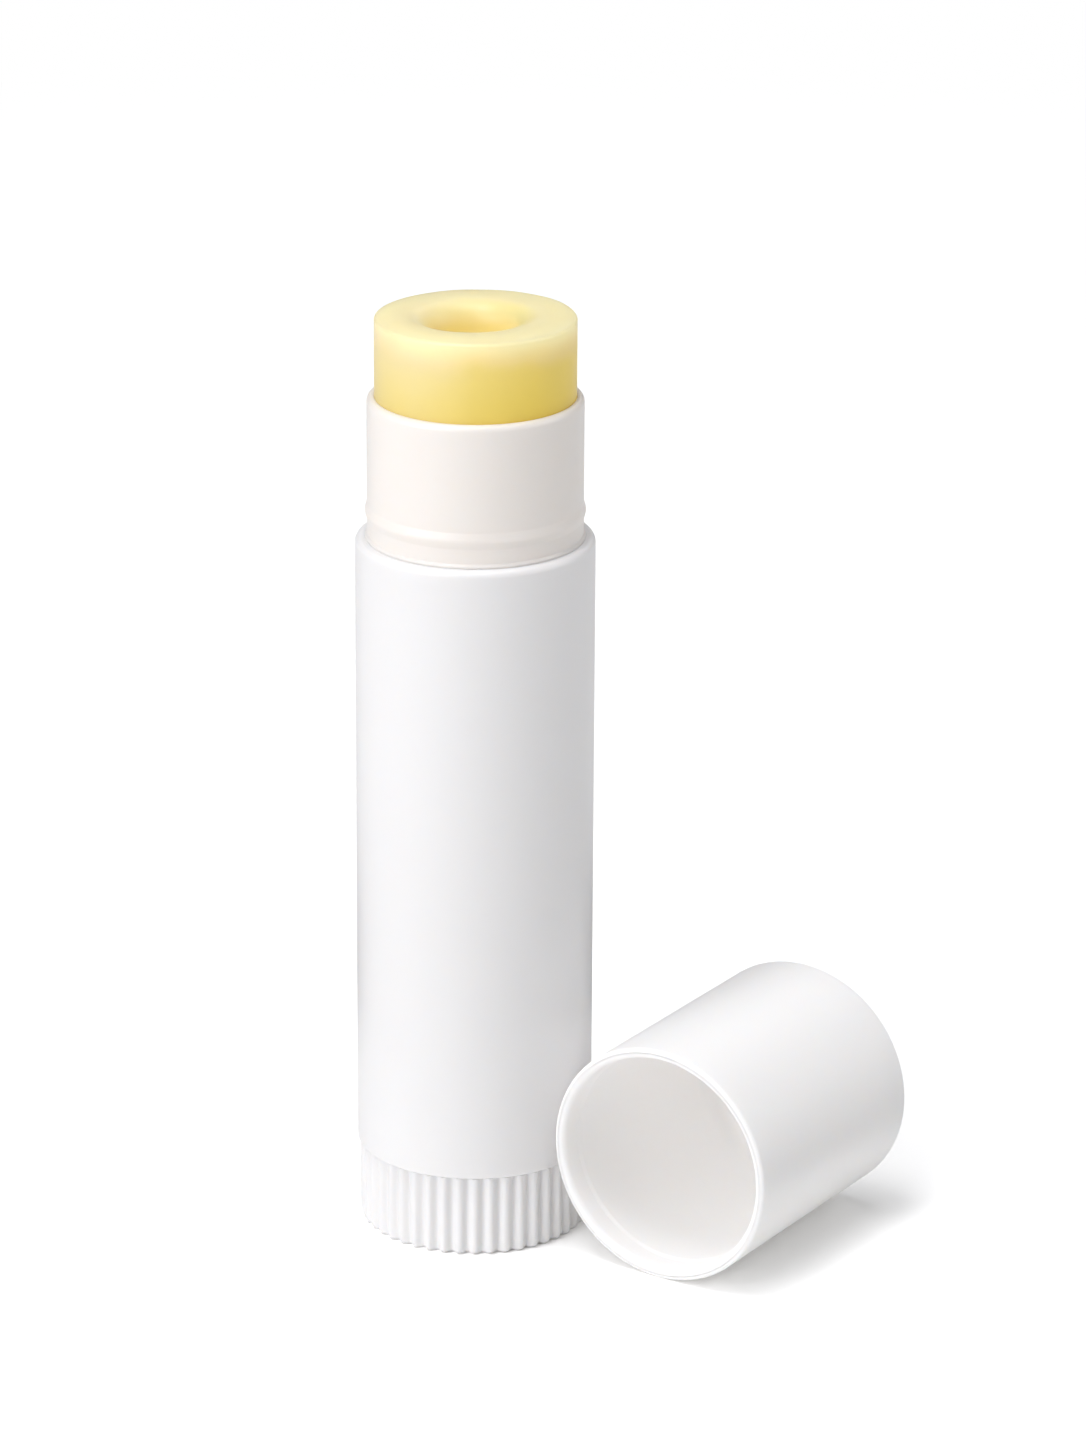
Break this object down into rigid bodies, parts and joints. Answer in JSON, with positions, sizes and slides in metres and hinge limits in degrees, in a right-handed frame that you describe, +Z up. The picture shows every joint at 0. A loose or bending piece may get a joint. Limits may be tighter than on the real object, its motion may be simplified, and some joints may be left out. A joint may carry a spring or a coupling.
{
  "type": "lip balm stick",
  "caption": "Twist-up stick of pale yellow balm in a plain white tube with a ribbed knob at its foot, and its round cap lying beside it.",
  "frame": {"origin": "centre of the knob's flat underside, on the stick's axis and on the surface that it stands on", "axes": "+Z up along the stick's axis; the cap lies on the same surface at +X with its own axis along Y and its mouth towards -Y"},
  "size_m": [0.0327, 0.0242, 0.0642],
  "materials": {
    "white_polypropylene": "satin",
    "natural_polypropylene": "satin",
    "natural_polyethylene": "matte",
    "beeswax_balm": "waxy"
  },
  "bodies": {
    "barrel": {"outer_barrel": "white_polypropylene", "inner_sleeve": "natural_polypropylene"},
    "twist_base": {"twist_knob": "white_polypropylene", "lead_screw": "natural_polyethylene"},
    "elevator": {"elevator_cup": "natural_polyethylene", "balm_stick": "beeswax_balm"},
    "cap": {"cap": "white_polypropylene"}
  },
  "joints": [
    {"name": "knob_twist", "type": "hinge", "parent": "barrel", "child": "twist_base", "pos_m": [0, 0, 0], "axis": [0, 0, 1], "range_deg": [-792.5, 3528.5]},
    {"name": "balm_rise", "type": "slide", "parent": "barrel", "child": "elevator", "axis": [0, 0, 1], "range_m": [-0.0066, 0.0294]},
    {"name": "cap_lift", "type": "slide", "parent": "barrel", "child": "cap", "axis": [0, 0, 1], "range_m": [0, 0.075]}
  ],
  "couplings": [
    {"joint": "knob_twist", "follows": "balm_rise", "rad_per_m": 2094.4}
  ]
}
